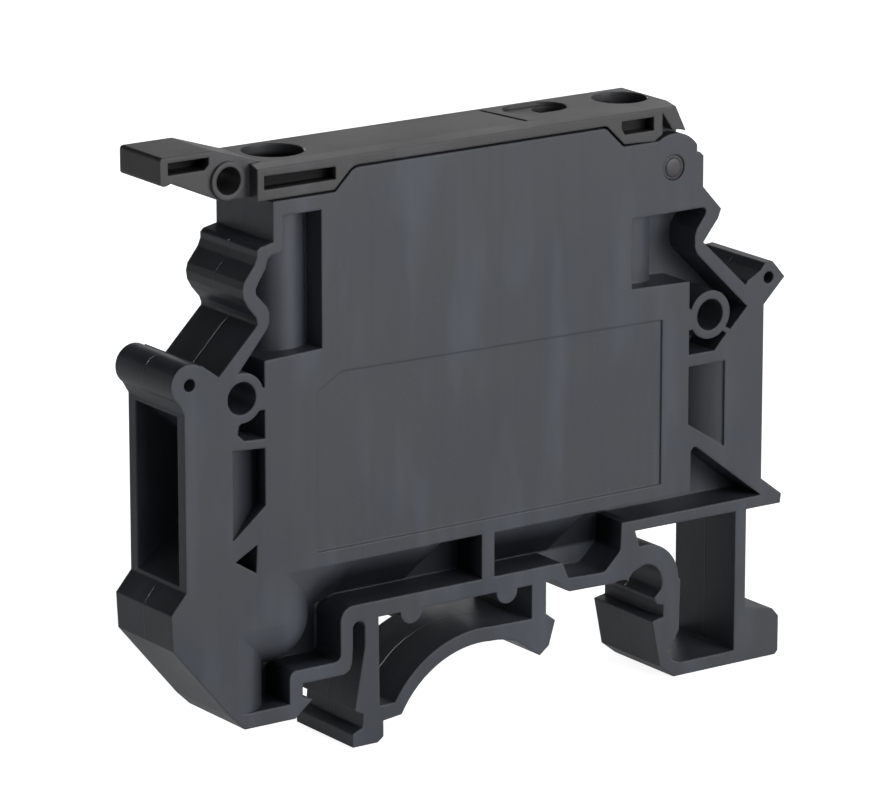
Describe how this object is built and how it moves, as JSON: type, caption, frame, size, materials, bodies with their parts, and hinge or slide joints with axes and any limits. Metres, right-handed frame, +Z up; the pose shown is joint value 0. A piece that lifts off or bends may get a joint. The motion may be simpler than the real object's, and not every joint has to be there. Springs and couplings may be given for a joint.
{
  "type": "fuse terminal block",
  "caption": "Slim rail-mounted terminal block with a hinged lever that carries a cartridge fuse and a screw clamp at each end.",
  "frame": {"origin": "on the surface that the feet stand on, in the middle of the 35 mm rail and of the thickness", "axes": "+X along the block across the rail, towards the lever's pivot; +Y through its thickness, along the rail; +Z up, away from the rail"},
  "size_m": [0.0592, 0.008, 0.0494],
  "materials": {
    "housing_plastic": "moulded polyamide, satin, dark grey",
    "lever_plastic": "moulded polyamide, satin, dark grey",
    "clear_glass": "clear glass",
    "plated_caps": "nickel plate",
    "fuse_wire_metal": "plain drawn wire",
    "zinc_steel": "zinc plate",
    "tinned_copper": "tin plate",
    "tinned_bronze": "tin plate"
  },
  "bodies": {
    "block": {"housing": "housing_plastic", "left_current_bar": "tinned_copper", "right_current_bar": "tinned_copper", "left_fuse_clip": "tinned_bronze", "right_fuse_clip": "tinned_bronze", "left_clip_rivet": "tinned_bronze", "right_clip_rivet": "tinned_bronze"},
    "lever": {"fuse_lever": "lever_plastic", "fuse_glass": "clear_glass", "fuse_cap_left": "plated_caps", "fuse_cap_right": "plated_caps", "fuse_wire": "fuse_wire_metal"},
    "left_clamp_screw": {"left_screw": "zinc_steel"},
    "right_clamp_screw": {"right_screw": "zinc_steel"},
    "left_clamp_cage": {"left_cage": "zinc_steel"},
    "right_clamp_cage": {"right_cage": "zinc_steel"}
  },
  "joints": [
    {"name": "lever_hinge", "type": "hinge", "parent": "block", "child": "lever", "pos_m": [0.0182, 0, 0.0427], "axis": [0, 1, 0], "range_deg": [0, 90]},
    {"name": "left_screw_turn", "type": "hinge", "parent": "block", "child": "left_clamp_screw", "pos_m": [-0.0174, 0, 0.03], "axis": [0, 0, 1], "range_deg": [-1800, 0]},
    {"name": "right_screw_turn", "type": "hinge", "parent": "block", "child": "right_clamp_screw", "pos_m": [0.0157, 0, 0.03], "axis": [0, 0, 1], "range_deg": [-1800, 0]},
    {"name": "left_cage_lift", "type": "slide", "parent": "block", "child": "left_clamp_cage", "axis": [0, 0, 1], "range_m": [0, 0.0025]},
    {"name": "right_cage_lift", "type": "slide", "parent": "block", "child": "right_clamp_cage", "axis": [0, 0, 1], "range_m": [0, 0.0025]}
  ],
  "couplings": [
    {"joint": "left_screw_turn", "follows": "left_cage_lift", "rad_per_m": -12566},
    {"joint": "right_screw_turn", "follows": "right_cage_lift", "rad_per_m": -12566}
  ]
}
